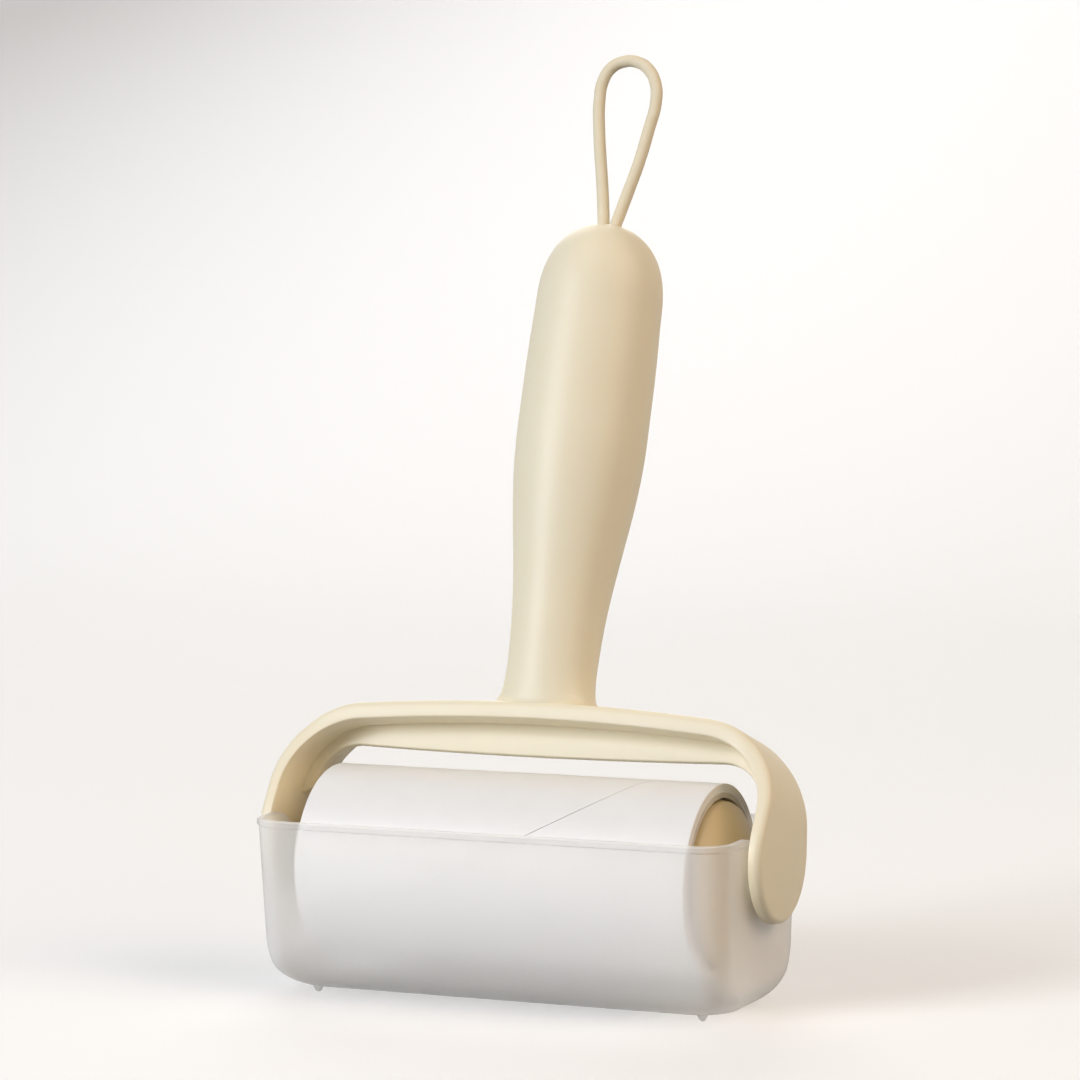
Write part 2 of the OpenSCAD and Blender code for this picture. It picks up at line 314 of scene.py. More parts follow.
def waveScale(pitch):
    # a wave texture's scale for ribs this many mm apart
    return math.pi / (10 * pitch * mm)


def mouldedAbs(name, low, high, rough):
    # injection moulded ABS from a spark-eroded tool: an even matt sheen, slightly waxy
    material, tree, shader = newMaterial(name)
    coords = addNode(tree, "ShaderNodeTexCoord").outputs["Object"]
    tree.links.new(patches(tree, coords, 24, low, high), shader.inputs["Base Color"])
    tree.links.new(grain(tree, coords, 0.7, 0.03, 0.12), shader.inputs["Normal"])
    shader.inputs["Roughness"].default_value = rough
    shader.inputs["IOR"].default_value = 1.53
    shader.inputs["Subsurface Weight"].default_value = 0.06
    shader.inputs["Subsurface Radius"].default_value = (1, 0.7, 0.4)
    shader.inputs["Subsurface Scale"].default_value = 2 * mm
    return material


def frostedPolypropylene():
    # thin moulded polypropylene with a frosted skin: what lies behind shows soft and pale
    material, tree, shader = newMaterial("frostedPolypropylene")
    coords = addNode(tree, "ShaderNodeTexCoord").outputs["Object"]
    tree.links.new(patches(tree, coords, 30, "#eeedeb", "#f4f3f1"), shader.inputs["Base Color"])
    tree.links.new(grain(tree, coords, 0.6, 0.02, 0.1), shader.inputs["Normal"])
    shader.inputs["Roughness"].default_value = 0.3
    shader.inputs["IOR"].default_value = 1.2
    shader.inputs["Transmission Weight"].default_value = 0.62
    # the lamps reach what stands in the cover
    rays = addNode(tree, "ShaderNodeLightPath")
    clear = addNode(tree, "ShaderNodeBsdfTransparent", Color=linear("#f3f2f0"))
    mix = addNode(tree, "ShaderNodeMixShader",
                  {0: rays.outputs["Is Shadow Ray"], 1: shader.outputs["BSDF"],
                   2: clear.outputs["BSDF"]})
    tree.links.new(mix.outputs["Shader"], tree.nodes["Material Output"].inputs["Surface"])
    return material


def coatedPaper():
    # calendered tack-coated paper: nearly white, with a faint cloudy formation
    material, tree, shader = newMaterial("coatedPaper")
    coords = addNode(tree, "ShaderNodeTexCoord").outputs["Object"]
    tree.links.new(patches(tree, coords, 6, "#ececeb", "#f2f2f1"), shader.inputs["Base Color"])
    tree.links.new(grain(tree, coords, 0.5, 0.015, 0.08), shader.inputs["Normal"])
    shader.inputs["Roughness"].default_value = 0.5
    shader.inputs["IOR"].default_value = 1.46
    return material


def woundPaperEdge():
    # slit edges of the wound turns: fine rings, greyer than the face
    # a turn is 0.1 mm thick; the rings are drawn 0.35 mm apart so that they show
    material, tree, shader = newMaterial("woundPaperEdge")
    coords = addNode(tree, "ShaderNodeTexCoord").outputs["Object"]
    centred = addNode(tree, "ShaderNodeMapping", {"Vector": coords},
                      Location=(0, 0, -roller["axisZ"] * mm))
    rings = addNode(tree, "ShaderNodeTexWave", {"Vector": centred.outputs["Vector"]},
                    wave_type="RINGS", rings_direction="X",
                    Scale=waveScale(0.35), Distortion=0.6, Detail=2)
    mix = addNode(tree, "ShaderNodeMix", data_type="RGBA")
    mix.inputs["A"].default_value = linear("#cfc9c2")
    mix.inputs["B"].default_value = linear("#e6e2dc")
    tree.links.new(rings.outputs["Fac"], mix.inputs["Factor"])
    tree.links.new(mix.outputs["Result"], shader.inputs["Base Color"])
    bump = addNode(tree, "ShaderNodeBump", {"Height": rings.outputs["Fac"]},
                   Strength=0.4, Distance=0.05 * mm)
    tree.links.new(bump.outputs["Normal"], shader.inputs["Normal"])
    shader.inputs["Roughness"].default_value = 0.75
    return material


def spiralWoundBoard():
    # grey recycled board, rough and slightly mottled
    material, tree, shader = newMaterial("spiralWoundBoard")
    coords = addNode(tree, "ShaderNodeTexCoord").outputs["Object"]
    tree.links.new(patches(tree, coords, 1.5, "#b3a999", "#c8bfb1"), shader.inputs["Base Color"])
    tree.links.new(grain(tree, coords, 0.5, 0.06, 0.3), shader.inputs["Normal"])
    shader.inputs["Roughness"].default_value = 0.85
    return material


def braidedCord():
    # tight polyester braid: diagonal ribs 0.7 mm apart, drawn faint because it is so fine
    material, tree, shader = newMaterial("braidedCord")
    coords = addNode(tree, "ShaderNodeTexCoord").outputs["Object"]
    heights = []
    for turn in (math.radians(50), math.radians(-50)):
        turned = addNode(tree, "ShaderNodeMapping", {"Vector": coords}, Rotation=(0, turn, 0))
        wave = addNode(tree, "ShaderNodeTexWave", {"Vector": turned.outputs["Vector"]},
                       wave_type="BANDS", bands_direction="X",
                       Scale=waveScale(0.7), Distortion=0.3)
        heights.append(wave.outputs["Fac"])
    over = addNode(tree, "ShaderNodeMath", operation="MAXIMUM")
    tree.links.new(heights[0], over.inputs[0])
    tree.links.new(heights[1], over.inputs[1])
    bump = addNode(tree, "ShaderNodeBump", {"Height": over.outputs["Value"]},
                   Strength=0.25, Distance=0.08 * mm)
    tree.links.new(bump.outputs["Normal"], shader.inputs["Normal"])
    tree.links.new(patches(tree, coords, 3, "#e9dcbc", "#f1e6cb"), shader.inputs["Base Color"])
    shader.inputs["Roughness"].default_value = 0.6
    shader.inputs["Sheen Weight"].default_value = 0.2
    return material


# measures in mm that several pieces share

roller = {
    "axisZ": 30.6,
    "end": 50,
    "paperR": 23,
    "coreR": 20.9,
    "coreBoreR": 19.6,
    "drumR": 19.3,
    "drumBoreR": 17.5,
    "drumEdge": 0.2,
    "edge": 0.15,
    "cutWidth": 0.22,
    "cutDepth": 0.3,
    "cutOver": 1.2,
    "cutRise": 7,
    "cutSlope": 0.509,
    "cutBend": 75,
    "cutFrom": -57,
    "cutTo": 177,
    "cutStep": 3,
}
lean = math.radians(19.3)
leanTurn = (-lean, 0, 0)
leanMove = (0, 0, roller["axisZ"] * mm)
crownTop = 39
handleLength = 121.4

creamAbs = mouldedAbs("mouldedCreamAbs", "#f3e9cc", "#f6ecd2", 0.46)
# the drum and caps are the cream ABS with painted shade: its colours are darkened to the tan they
# show in the shade between the arms and the roll
shadedDrumAbs = mouldedAbs("mouldedDrumAbsPaintedShade", "#cdb689", "#d3bd92", 0.5)
frosted = frostedPolypropylene()
paper = coatedPaper()
paperEdge = woundPaperEdge()
board = spiralWoundBoard()
cordBraid = braidedCord()
print("materials made")


# hanging loop: one cord, out of the handle and back into it

loop = {
    "radius": 1.5,
    "route": [(-1.6, -3.3), (-1.6, 0), (-2, 3), (-3.2, 10), (-4.7, 17.5), (-6.1, 25),
              (-7.1, 33), (-6.8, 38), (-4.8, 41.6), (-1.2, 43.1), (1.8, 42.8), (5, 40.9),
              (7.4, 37.2), (8.2, 32.5), (7.2, 25), (5.8, 17), (4.1, 10), (2.3, 3), (1.6, 0),
              (1.6, -3.3)],
}


def loopPoint(x, above):
    rise = crownTop + handleLength + above
    return Vector((x, rise * math.sin(lean), roller["axisZ"] + rise * math.cos(lean))) * mm


def makeLoop():
    curve = bpy.data.curves.new("hangLoopCord", "CURVE")
    curve.dimensions = "3D"
    curve.bevel_depth = loop["radius"] * mm
    curve.bevel_resolution = 6
    curve.resolution_u = 10
    curve.use_fill_caps = True
    spline = curve.splines.new("BEZIER")
    spline.bezier_points.add(len(loop["route"]) - 1)
    for point, (x, above) in zip(spline.bezier_points, loop["route"]):
        point.co = loopPoint(x, above)
        point.handle_left_type = "AUTO"
        point.handle_right_type = "AUTO"
    piece = bpy.data.objects.new("hangLoopCord", curve)
    bpy.context.scene.collection.objects.link(piece)
    curve.materials.append(cordBraid)
    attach(piece, "frame")
    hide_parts("hang_loop")


makeLoop()


# handle: a closed outline, spun

handle = {
    "footR": 12.8,
    "footHalfDepth": 9.2,
    "footSink": 1,
    "footBlend": 17.4,
    "neckR": 11,
    "bellyR": 15.9,
    "domeR": 15.5,
    "flareLow": 1.5,
    "flareHigh": 10.4,
    "neckAt": 12.4,
    "bellyAt": 68.4,
    "bellyEnd": 80.4,
    "domeAt": 98.4,
    "domeHeight": 23,
    "domePower": 2.8,
    "wall": 2.4,
    "holeR": 3.3,
    "holeStep": 0.15,
    "edge": 0.35,
}


def domeShare(share):
    return math.sqrt(max(0, 1 - share ** handle["domePower"]))


def handleRadius(h):
    if h < handle["flareLow"]:
        return handle["footR"]
    if h < handle["flareHigh"]:
        share = (handle["flareHigh"] - h) / (handle["flareHigh"] - handle["flareLow"])
        flare = handle["footR"] - handle["neckR"]
        return handle["neckR"] + flare * (1 - math.sqrt(1 - share ** 2))
    if h < handle["neckAt"]:
        return handle["neckR"]
    if h < handle["bellyAt"]:
        share = (h - handle["neckAt"]) / (handle["bellyAt"] - handle["neckAt"])
        swell = handle["bellyR"] - handle["neckR"]
        return handle["neckR"] + swell * (1 - math.cos(math.pi * share)) / 2
    if h < handle["bellyEnd"]:
        return handle["bellyR"]
    if h < handle["domeAt"]:
        share = (h - handle["bellyEnd"]) / (handle["domeAt"] - handle["bellyEnd"])
        fall = handle["bellyR"] - handle["domeR"]
        return handle["bellyR"] - fall * (1 - math.cos(math.pi / 2 * share))
    return handle["domeR"] * domeShare(min(1, (h - handle["domeAt"]) / handle["domeHeight"]))


def spread(low, high, count):
    return [low + (high - low) * i / count for i in range(1, count + 1)]


def handleOutline():
    # foot, outside, rim of the cord's hole, inner dome and bore, as one closed line
    edge = handle["edge"]
    wall = handle["wall"]
    holeR = handle["holeR"]
    domeAt = handle["domeAt"]
    bore = handle["neckR"] - wall
    rimShare = (1 - ((holeR + edge) / handle["domeR"]) ** 2) ** (1 / handle["domePower"])
    rimTop = domeAt + handle["domeHeight"] * rimShare
    heights = spread(edge, handle["flareLow"], 2)
    heights += spread(handle["flareLow"], handle["flareHigh"], 12)
    heights += spread(handle["flareHigh"], handle["bellyAt"], 36)
    heights += spread(handle["bellyAt"], domeAt, 12)
    heights += [domeAt + handle["domeHeight"] * (1 - (1 - i / 40) ** 2) for i in range(1, 41)]
    outside = [(handleRadius(h), h) for h in heights if handleRadius(h) > holeR + edge]
    rim = [(holeR + edge * (1 - math.cos(a)), rimTop - edge * (1 - math.sin(a)))
           for a in (math.pi / 2, math.pi / 4, 0)]
    innerDome = handle["domeHeight"] - wall
    shares = [1 - (i / 16) ** 2 for i in range(17)]
    inside = [((handle["domeR"] - wall) * domeShare(s), domeAt + innerDome * s) for s in shares]
    inside = [point for point in inside if point[0] > holeR]
    holeFoot = [(holeR, inside[0][1] + handle["holeStep"])]
    straight = [(handleRadius(h) - wall, h)
                for h in reversed(spread(handle["neckAt"], domeAt, 24)[:-1])]
    low = -handle["footSink"]
    flat = [(bore, low), (handle["footR"] - edge, low), (handle["footR"], low + edge)]
    outline = flat + outside + rim + holeFoot + inside + straight + [(bore, handle["neckAt"])]
    return [(r * mm, 0, (crownTop + h) * mm) for r, h in outline]


def narrowFoot(piece):
    # the foot is no deeper than the strap and grows round up the neck; the bore stays round
    bore = handle["neckR"] - handle["wall"]
    slope = (handle["neckR"] - handle["footHalfDepth"]) / handle["footBlend"]
    edit(piece)
    mesh = bmesh.from_edit_mesh(piece.data)
    heights = sorted({round(v.co.z / mm - crownTop, 2) for v in mesh.verts
                      if v.co.z / mm < crownTop + handle["footBlend"]})
    for h in heights:
        halfDepth = handle["footHalfDepth"] + slope * h
        if halfDepth < handleRadius(h):
            selectVerts(piece, lambda co: abs(co.z / mm - crownTop - h) < near
                        and math.hypot(co.x, co.y) > (bore + 0.1) * mm)
            bpy.ops.transform.resize(value=(1, halfDepth / handleRadius(h), 1),
                                     center_override=(0, 0, (crownTop + h) * mm))
    bpy.ops.object.mode_set(mode="OBJECT")


def makeHandle():
    piece = spinPiece("moulded_handle", handleOutline(), (0, 0, 1))
    narrowFoot(piece)
    place(piece, leanTurn, leanMove)
    smooth(piece)
    finishPiece(piece, creamAbs, "frame", ["handle_grip"])
    print("handle made")


makeHandle()


# arch: a strap that widens into round-ended arms, with a rib inside it

arch = {
    "outX": 65.1,
    "armThick": 3.2,
    "crownThick": 4.2,
    "crownHalf": 9.6,
    "crownR": 506,
    "shoulderR": 21.6,
    "armEndR": 15.4,
    "armEndRise": 6.5,
    "armTaper": 14.3,
    "tipSteps": 21,
    "tipStep": 4.2,
    "flatFrom": -8.8,
    "flatTo": 6.6,
    "outerRound": 1.6,
    "innerRound": 0.4,
    "ribLow": 27.3,
    "ribRise": 0.7,
    "ribThick": 2.6,
    "ribSide": 3.9,
    "ribEnd": 14.65,
    "ribCornerR": 10.5,
    "ribRound": 0.5,
    "sink": 0.6,
    "bossR": 4.5,
    "bossLength": 2.6,
    "bossSink": 1,
    "bossEdge": 0.3,
    "pinR": 3,
    "pinReach": 13.9,
    "pinEdge": 0.4,
    "spigotR": 8.4,
    "spigotLength": 12,
    "spigotEdge": 0.6,
}
arch["inX"] = arch["outX"] - arch["armThick"]


def strapHalf(z):
    # round at the arm's end, then tapering to the crown's half width
    taper = math.radians(arch["armTaper"])
    rise = arch["armEndRise"] + arch["armEndR"] * math.sin(taper)
    if z < rise:
        return math.sqrt(max(0, arch["armEndR"] ** 2 - (z - arch["armEndRise"]) ** 2))
    return max(arch["crownHalf"], arch["armEndR"] * math.cos(taper) - (z - rise) * math.tan(taper))


def bothSides(right):
    return [(-x, z) for x, z in reversed(right)] + right[1:]


def archLine(half, top, arcR, turnR):
    # right half of an outline, from the middle of the crown down to the arm
    turnX = half - turnR
    turnZ = top - arcR + math.sqrt((arcR - turnR) ** 2 - turnX ** 2)
    crownTurn = math.asin(turnX / (arcR - turnR))
    turns = [crownTurn * i / 16 for i in range(17)]
    line = [(arcR * math.sin(turn), top - arcR * (1 - math.cos(turn))) for turn in turns]
    turns = spread(crownTurn, math.pi / 2, 24)
    line += [(turnX + turnR * math.sin(turn), turnZ + turnR * math.cos(turn)) for turn in turns]
    return line


def strapLine(half, top, arcR, turnR):
    # the outline goes on down to the tip of the arm's round end
    line = archLine(half, top, arcR, turnR)
    line += [(half, z) for z in spread(line[-1][1], arch["armEndRise"], 6)]
    line += [(half, arch["armEndRise"]
              - arch["armEndR"] * math.sin(math.radians(arch["tipStep"] * i)))
             for i in range(1, arch["tipSteps"] + 1)]
    return bothSides(line)


def roundRim(piece, line, width, segments):
    # both long edges on one side of the strap, which meet at the arms' tips
    def onLine(vert):
        return any(abs(vert.co.x / mm - x) < near and abs(vert.co.z / mm - z) < near
                   for x, z in line)

    tip = line[0][1] * mm
    selectEdges(piece, lambda a, b: onLine(a) and onLine(b)
                and (a.co.y * b.co.y > 0 or max(a.co.z, b.co.z) < tip + near * mm))
    bpy.ops.mesh.bevel(offset=width * mm, segments=segments, affect="EDGES", clamp_overlap=False)


def makeStrap():
    # a section pushed along from one arm's tip to the other's
    outer = strapLine(arch["outX"], crownTop, arch["crownR"], arch["shoulderR"])
    inner = strapLine(arch["inX"], crownTop - arch["crownThick"],
                      arch["crownR"] - arch["crownThick"], arch["shoulderR"] - arch["armThick"])
    corners = ((outer, -1), (outer, 1), (inner, 1), (inner, -1))
    piece = sweep("moulded_arch", [[(x, side * strapHalf(z), z) for x, z in line]
                                   for line, side in corners])
    # one flat face on each side of the arm's round end, so that its rim can be rounded
    selectEdges(piece, lambda a, b: a.co.y * b.co.y < 0 and abs(a.co.z - b.co.z) < 0.001 * mm
                and arch["flatFrom"] * mm < a.co.z < arch["flatTo"] * mm)
    bpy.ops.mesh.dissolve_edges(use_verts=False)
    tidyNormals(piece)
    roundRim(piece, outer, arch["outerRound"], 6)
    roundRim(piece, inner, arch["innerRound"], 3)
    bpy.ops.object.mode_set(mode="OBJECT")
    return piece


def ribOutline():
    # inner edge from left to right, then back along the strap, sunk a little into it
    corner = arch["ribCornerR"]
    sideX = arch["inX"] - arch["ribSide"]
    cornerX = sideX - corner
    cornerZ = arch["ribLow"] + arch["ribRise"] - corner
    bowR = cornerX ** 2 / (2 * arch["ribRise"])
    right = [(x, arch["ribLow"] + bowR - math.sqrt(bowR ** 2 - x ** 2))
             for x in [cornerX * i / 12 for i in range(13)]]
    right += [(cornerX + corner * math.sin(turn), cornerZ + corner * math.cos(turn))
              for turn in spread(0, math.pi / 2, 14)]
    sink = arch["sink"]
    slope = (arch["ribEnd"] - cornerZ) / (arch["ribSide"] + 1)
    right.append((arch["inX"] + sink, cornerZ + slope * (arch["ribSide"] + sink)))
    back = archLine(arch["inX"] + sink, crownTop - arch["crownThick"] + sink,
                    arch["crownR"] - arch["crownThick"] + sink,
                    arch["shoulderR"] - arch["armThick"] + sink)
    back = bothSides(back[:-1])
    return bothSides(right) + back[::-1]


def makeRib():
    half = arch["ribThick"] / 2 * mm
    outline = [(x * mm, -half, z * mm) for x, z in ribOutline()]
    piece = makeSlab("rib", outline, (0, 2 * half, 0))
    bevelEdges(piece, arch["ribRound"], 3, 60)
    return piece


def makePivot(side):
    # boss against the arm, then the pin that the roller turns on
    face = arch["inX"] - arch["bossLength"]
    tip = arch["inX"] - arch["pinReach"]
    root = arch["inX"] + arch["bossSink"]
    pinEdge = arch["pinEdge"]
    bossEdge = arch["bossEdge"]
    outline = [(tip, 0), (tip, arch["pinR"] - pinEdge), (tip + pinEdge, arch["pinR"]),
               (face, arch["pinR"]), (face, arch["bossR"] - bossEdge),
               (face + bossEdge, arch["bossR"]), (root, arch["bossR"]), (root, 0)]
    points = [(side * x * mm, 0, r * mm) for x, r in outline]
    return spinPiece("pivot", points, (1, 0, 0), 64, closed=False)


def makeSeat():
    # spigot on the crown that goes up into the handle
    low = crownTop - arch["crownThick"] / 2
    top = crownTop + arch["spigotLength"]
    radius = arch["spigotR"]
    edge = arch["spigotEdge"]
    outline = [(0, low), (radius, low), (radius, top - edge), (radius - edge, top), (0, top)]
    points = [(r * mm, 0, z * mm) for r, z in outline]
    return spinPiece("seat", points, (0, 0, 1), 96, closed=False)


def makeArch():
    piece = joinPieces([makeStrap(), makeRib(), makePivot(-1), makePivot(1), makeSeat()])
    place(piece, leanTurn, leanMove)
    smooth(piece, 30)
    finishPiece(piece, creamAbs, "frame", ["arch_frame"])
    print("arch made")


makeArch()


# roller: wound paper with its slanting cut, board core, drum and two caps

def ringOutline(outer, inner, end, edge):
    return [(-end * mm, 0, (inner + edge) * mm), (-end * mm, 0, (outer - edge) * mm),
            ((-end + edge) * mm, 0, outer * mm), ((end - edge) * mm, 0, outer * mm),
            (end * mm, 0, (outer - edge) * mm), (end * mm, 0, (inner + edge) * mm),
            ((end - edge) * mm, 0, inner * mm), ((-end + edge) * mm, 0, inner * mm)]


def cutX(turn):
    # straight as seen from the front, then steadily on over the back; 0 faces the front
    bend = min(turn, roller["cutBend"])
    rise = roller["paperR"] * math.sin(math.radians(bend)) - roller["cutRise"]
    along = rise / roller["cutSlope"]
    perTurn = roller["paperR"] * math.cos(math.radians(bend)) / roller["cutSlope"]
    return along + perTurn * math.radians(turn - bend)


def makeBlade():
    # a thin sheet that follows the cut, from its floor to clear of the paper
    turns = range(roller["cutFrom"], roller["cutTo"] + 1, roller["cutStep"])
    lines = []
    for reach in (roller["paperR"] - roller["cutDepth"], roller["paperR"] + roller["cutOver"]):
        lines.append([(cutX(turn), -reach * math.cos(math.radians(turn)),
                       reach * math.sin(math.radians(turn))) for turn in turns])
    blade = sweep("blade", lines)
    bpy.ops.object.mode_set(mode="OBJECT")
    applyModifier(blade, "SOLIDIFY", thickness=roller["cutWidth"] * mm, offset=0)
    edit(blade)
    tidyNormals(blade)
    bpy.ops.object.mode_set(mode="OBJECT")
    return blade


def subtract(piece, cutter):
    applyModifier(piece, "BOOLEAN", operation="DIFFERENCE", solver="EXACT", object=cutter)
    bpy.data.objects.remove(cutter)


def makePaper():
    outline = ringOutline(roller["paperR"], roller["coreR"], roller["end"], roller["edge"])
    piece = spinPiece("wound_paper", outline, (1, 0, 0), 192)
    subtract(piece, makeBlade())
    place(piece, move=leanMove)
    smooth(piece, 30)
    finishPiece(piece, paper, "roller", ["sticky_paper_roll"])
    piece.data.materials.append(paperEdge)
    edit(piece)
    endFrom = (roller["end"] - 1) * mm
    selectFaces(piece, lambda face: abs(face.normal.x) > 0.9
                and abs(face.calc_center_median().x) > endFrom)
    piece.active_material_index = 1
    bpy.ops.object.material_slot_assign()
    bpy.ops.object.mode_set(mode="OBJECT")
    print("paper made")


def makeCore():
    outline = ringOutline(roller["coreR"], roller["coreBoreR"], roller["end"], roller["edge"])
    piece = spinPiece("board_core", outline, (1, 0, 0))
    place(piece, move=leanMove)
    smooth(piece, 30)
    finishPiece(piece, board, "roller", ["paper_core"])


cap = {
    "noseLength": 9,
    "noseR": 4.6,
    "boreR": 3.08,
    "plugR": 17.45,
    "plugLength": 8,
    "wall": 1.8,
    "hubLength": 13,
    "inset": 1.2,
    "insetDrop": 0.35,
    "shoulder": [(0.4, 0.45), (1.2, 0.9), (2.4, 2.4)],
    "noseEdge": [(1.2, 1.2), (0.5, 0.35), (0, 0)],
    "boreEdge": 0.3,
    "plugEdge": 0.4,
}


def makeDrum():
    outline = ringOutline(roller["drumR"], roller["drumBoreR"], roller["end"] - cap["inset"],
                          roller["drumEdge"])
    piece = spinPiece("roller_tube", outline, (1, 0, 0))
    place(piece, move=leanMove)
    smooth(piece, 30)
    finishPiece(piece, shadedDrumAbs, "roller", ["roller_drum"])


def capOutline():
    # over the shoulder to the nose, back along the bore and hub, then the plug; x counts
    # from the drum's end
    nose = cap["noseLength"]
    noseR = cap["noseR"]
    drumR = roller["drumR"]
    outside = [(-cap["inset"], drumR - cap["insetDrop"])]
    outside += [(x, drumR - drop) for x, drop in cap["shoulder"]]
    outside += [(nose - back, noseR + out) for back, out in cap["noseEdge"]]
    inside = [(nose, cap["boreR"] + cap["boreEdge"]), (nose - cap["boreEdge"], cap["boreR"])]
    inside += [(nose - cap["hubLength"], cap["boreR"]), (nose - cap["hubLength"], noseR)]
    inside += [(nose - 2 * cap["wall"], noseR + cap["wall"] / 2)]
    plugR = cap["plugR"]
    plugEnd = -cap["plugLength"]
    inside += [(0, plugR - cap["wall"]), (plugEnd, plugR - cap["wall"])]
    inside += [(plugEnd, plugR - cap["plugEdge"]), (plugEnd + cap["plugEdge"], plugR)]
    inside += [(-cap["inset"], plugR)]
    return outside + inside


def makeCap(side, name, node):
    points = [(side * (roller["end"] + x) * mm, 0, r * mm) for x, r in capOutline()]
    piece = spinPiece(name, points, (1, 0, 0))
    place(piece, move=leanMove)
    smooth(piece, 30)
    finishPiece(piece, shadedDrumAbs, "roller", [node])


makePaper()
makeCore()
makeDrum()
makeCap(-1, "cap_left", "drum_cap_left")
makeCap(1, "cap_right", "drum_cap_right")
print("roller made")


# dust cover: one surface up the outside and down the inside, with slots and feet

cover = {
    "footHeight": 1,
    "height": 42,
    "wall": 1.4,
    "baseHalfLength": 60.1,
    "baseHalfDepth": 23.538,
    "endDraft": 1,
    "sideDraft": 2.5,
    "floorEndR": 7.5,
    "floorSideR": 14,
    "cornerR": 8,
    "lip": 0.4,
    "lipHeight": 1.4,
    "edge": 0.3,
    "slotR": 4.8,
    "slotOver": 2,
    "slotInset": 6,
    "slotReach": 10,
    "mouthR": 8,
    "rimRise": 12.4,
    "footX": 49.9,
    "footY": 11.738,
    "footR": 1.5,
    "footTipR": 0.45,
    "footEdge": 0.3,
    "footSink": 0.7,
}


def floorInset(h, radius):
    # how far the rounded floor draws in at height h
    return 0 if h >= radius else radius - math.sqrt(radius ** 2 - (radius - h) ** 2)


def coverHalf(h, wall):
    share = h / cover["height"]
    length = cover["baseHalfLength"] + cover["endDraft"] * share - wall
    depth = cover["baseHalfDepth"] + cover["sideDraft"] * share - wall
    return (length - floorInset(h - wall, cover["floorEndR"] - wall),
            depth - floorInset(h - wall, cover["floorSideR"] - wall))


def coverRing(h, wall, out=0):
    # half length, half depth, corner radius and height of one ring
    length, depth = coverHalf(h, wall)
    return length + out, depth + out, cover["cornerR"] - wall + out, cover["footHeight"] + h


def coverRings():
    edge = cover["edge"]
    wall = cover["wall"]
    top = cover["height"]
    lipLow = top - cover["lipHeight"]
    rise = max(cover["floorEndR"], cover["floorSideR"])
    rings = [coverRing(rise * (i / 16) ** 2, 0) for i in range(17)]
    rings += [coverRing(h, 0) for h in spread(rise, lipLow - cover["lip"], 4)]
    rings += [coverRing(lipLow, 0, cover["lip"]), coverRing(top - edge, 0, cover["lip"])]
    rings += [coverRing(top, 0, cover["lip"] - edge), coverRing(top, wall - edge)]
    rings += [coverRing(h, wall) for h in reversed(spread(rise, top - edge, 4))]
    rings += [coverRing(wall + (rise - wall) * (i / 16) ** 2, wall) for i in range(16, -1, -1)]
    return rings


def pushRing(piece, last, here):
    # each corner keeps its round shape while it slides and grows
    lastX, lastY, lastR, lastZ = last
    hereX, hereY, hereR, hereZ = here
    rise = (0, 0, (hereZ - lastZ) * mm)
    bpy.ops.mesh.extrude_edges_move(TRANSFORM_OT_translate={"value": rise})
    grow = hereR / lastR
    mesh = bmesh.from_edit_mesh(piece.data)
    mesh.verts.index_update()
    ring = {vert.index: vert.co.copy() for vert in mesh.verts if vert.select}
    for sideX in (-1, 1):
        for sideY in (-1, 1):
            choose(piece, [i for i, co in ring.items() if co.x * sideX > 0 and co.y * sideY > 0])
            middle = (sideX * (lastX - lastR) * mm, sideY * (lastY - lastR) * mm, 0)
            bpy.ops.transform.resize(value=(grow, grow, 1), center_override=middle)
            slide = (sideX * (hereX - hereR - lastX + lastR) * mm,
                     sideY * (hereY - hereR - lastY + lastR) * mm, 0)
            bpy.ops.transform.translate(value=slide)
    choose(piece, ring)


def makeShell():
    # one surface: the underside, up the outside, over the rim, down the inside and across
    rings = coverRings()
    length, depth, cornerR, low = rings[0]
    deselectAll()
    bpy.ops.mesh.primitive_plane_add(size=2 * mm)
    piece = startPiece("frosted_cover")
    edit(piece)
    bpy.ops.mesh.select_mode(type="VERT")
    bpy.ops.mesh.select_all(action="SELECT")
    bpy.ops.transform.resize(value=(length, depth, 1))
    bpy.ops.transform.translate(value=(0, 0, low * mm))
    bpy.ops.mesh.bevel(offset=cornerR * mm, segments=10, affect="VERTICES")
    bpy.ops.mesh.select_all(action="SELECT")
    for last, here in zip(rings, rings[1:]):
        pushRing(piece, last, here)
    bpy.ops.mesh.edge_face_add()
    tidyNormals(piece)
    bpy.ops.object.mode_set(mode="OBJECT")
    return piece


def makeSlotCutter(side):
    # drop-in slot for a boss, with a rounded mouth at the rim
    slotR = cover["slotR"]
    mouthR = cover["mouthR"]
    rim = cover["rimRise"]
    right = [(slotR * math.sin(a), -slotR * math.cos(a))
             for a in [math.pi / 2 * i / 16 for i in range(17)]]
    right += [(slotR + mouthR - mouthR * math.cos(a), rim - mouthR + mouthR * math.sin(a))
              for a in [math.pi / 2 * i / 14 for i in range(15)]]
    right += [(slotR + mouthR, rim + cover["slotOver"])]
    outline = right + [(-y, z) for y, z in reversed(right[1:])]
    startX = side * (arch["inX"] - cover["slotInset"])
    points = [(startX * mm, y * mm, (roller["axisZ"] + z) * mm) for y, z in outline]
    return makeSlab("slotCutter", points, (side * cover["slotReach"] * mm, 0, 0))


def makeFoot(x, y):
    tipR = cover["footTipR"]
    edge = cover["footEdge"]
    top = cover["footHeight"] + cover["footSink"]
    outline = [(0, 0), (tipR, 0), (tipR + edge, edge), (cover["footR"], top), (0, top)]
    points = [(r * mm, 0, z * mm) for r, z in outline]
    foot = spinPiece("foot", points, (0, 0, 1), 24, closed=False)
    place(foot, move=(x * mm, y * mm, 0))
    return foot


